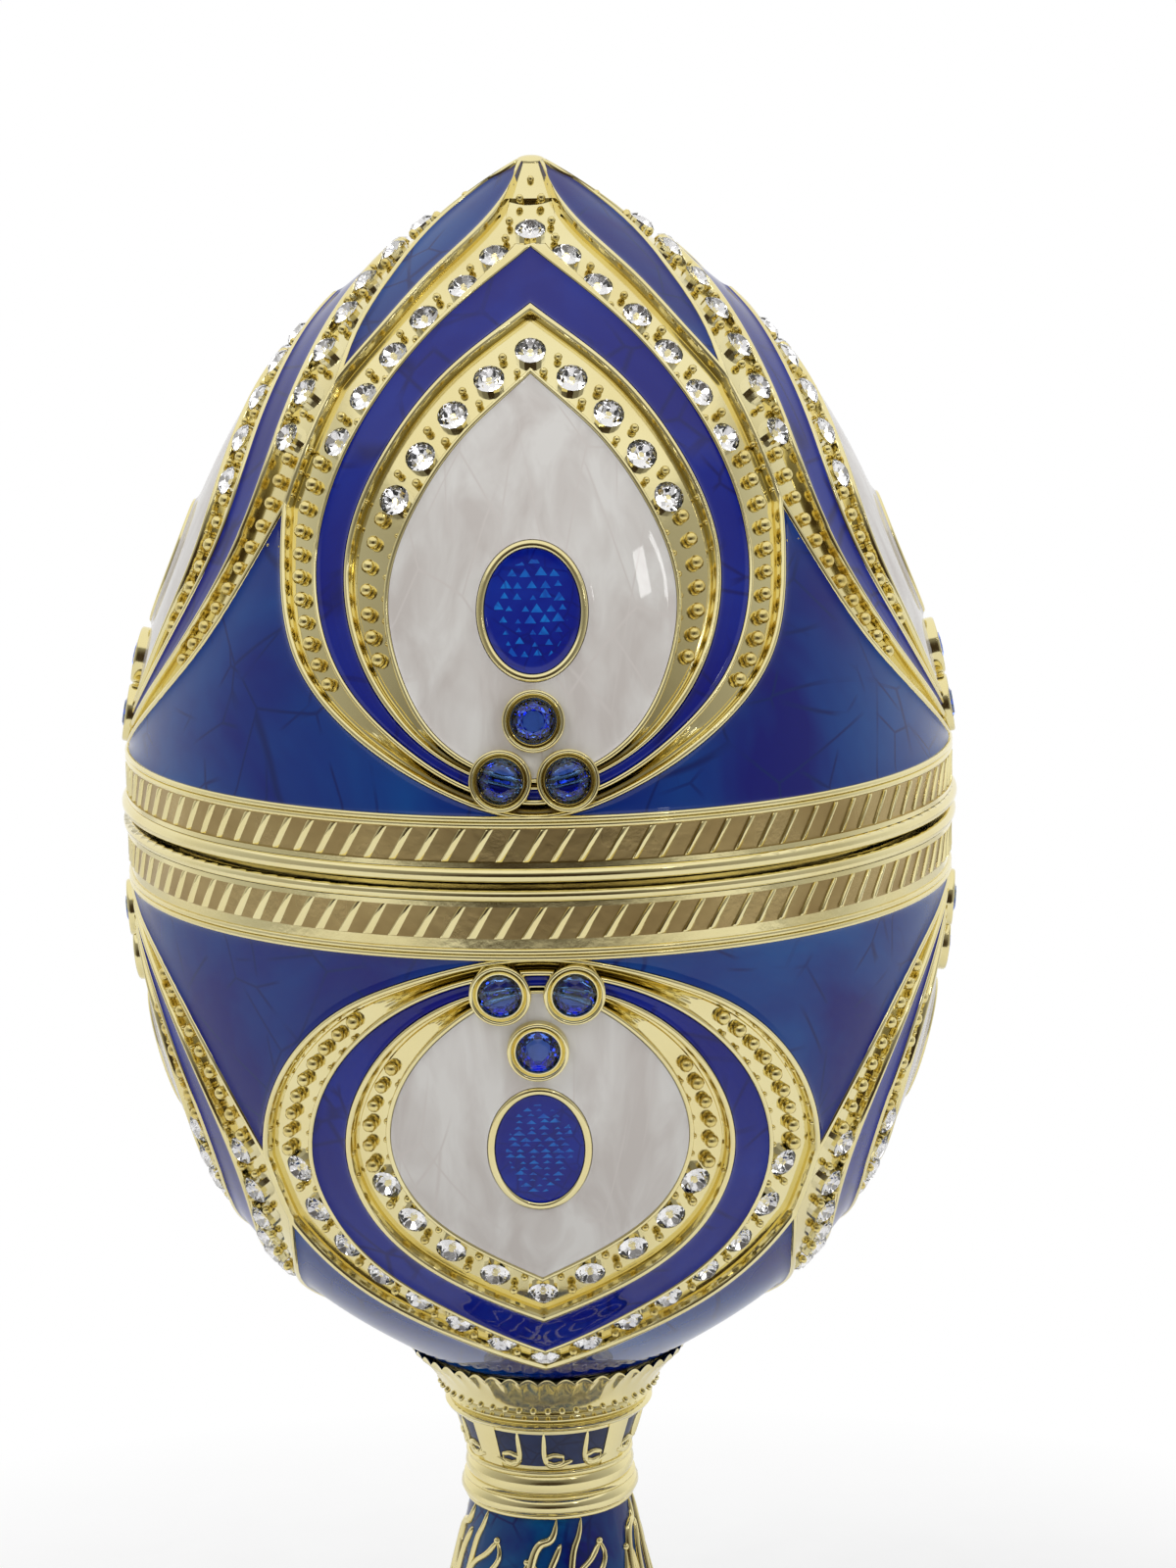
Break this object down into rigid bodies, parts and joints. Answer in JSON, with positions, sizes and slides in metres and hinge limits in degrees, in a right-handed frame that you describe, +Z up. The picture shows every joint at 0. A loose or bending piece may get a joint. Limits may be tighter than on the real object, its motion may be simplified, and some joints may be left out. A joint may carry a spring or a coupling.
{
  "type": "decorative egg on stand",
  "caption": "Hinged enamelled egg box on a stem and flaring foot, with gold bands, pointed motifs and faceted stones.",
  "frame": {"origin": "centre of the foot's underside, on the surface that the object stands on", "axes": "+Z up along the egg's axis, -Y towards the front, where the catch is; the hinge is at +Y"},
  "size_m": [0.0722, 0.0753, 0.1702],
  "materials": {
    "gold_plate": "polished",
    "gold_band": "polished",
    "blue_enamel": "glossy",
    "ribbon_enamel": "glossy",
    "white_enamel": "pearly",
    "oval_enamel": "glossy",
    "neck_enamel": "glossy",
    "foot_enamel": "glossy",
    "clear_stone": "faceted",
    "blue_stone": "faceted",
    "magnet": "plated",
    "liner": "flocked",
    "steel": "plain",
    "felt": "felt"
  },
  "bodies": {
    "egg_and_stand": {"body_shell": "gold_plate", "body_gold_bands": "gold_band", "body_oval_frames": "gold_band", "body_stone_collars": "gold_band", "body_field_enamel": "blue_enamel", "body_ribbon_enamel": "ribbon_enamel", "body_white_enamel": "white_enamel", "body_oval_enamel": "oval_enamel", "body_clear_stones": "clear_stone", "body_blue_stones": "blue_stone", "body_rim_band": "gold_band", "body_magnet": "magnet", "hinge_lower_leaf": "gold_plate", "hinge_pin": "gold_plate", "body_lining": "liner", "lotus_cup": "gold_plate", "stem_neck": "gold_plate", "neck_enamel": "neck_enamel", "stem_collar": "gold_band", "foot_shell": "gold_plate", "foot_enamel": "foot_enamel", "foot_rim_band": "gold_band", "base_plate": "steel", "felt_pad": "felt", "tie_screw": "steel", "tie_washer": "steel", "tie_nut": "steel"},
    "lid": {"lid_shell": "gold_plate", "lid_gold_bands": "gold_band", "lid_oval_frames": "gold_band", "lid_stone_collars": "gold_band", "lid_field_enamel": "blue_enamel", "lid_ribbon_enamel": "ribbon_enamel", "lid_white_enamel": "white_enamel", "lid_oval_enamel": "oval_enamel", "lid_clear_stones": "clear_stone", "lid_blue_stones": "blue_stone", "lid_rim_band": "gold_band", "lid_magnet": "magnet", "hinge_upper_leaf": "gold_plate"}
  },
  "joints": [
    {"name": "lid_hinge", "type": "hinge", "parent": "egg_and_stand", "child": "lid", "pos_m": [0, 0.0378, 0.115], "axis": [-1, 0, 0], "range_deg": [0, 100]}
  ]
}
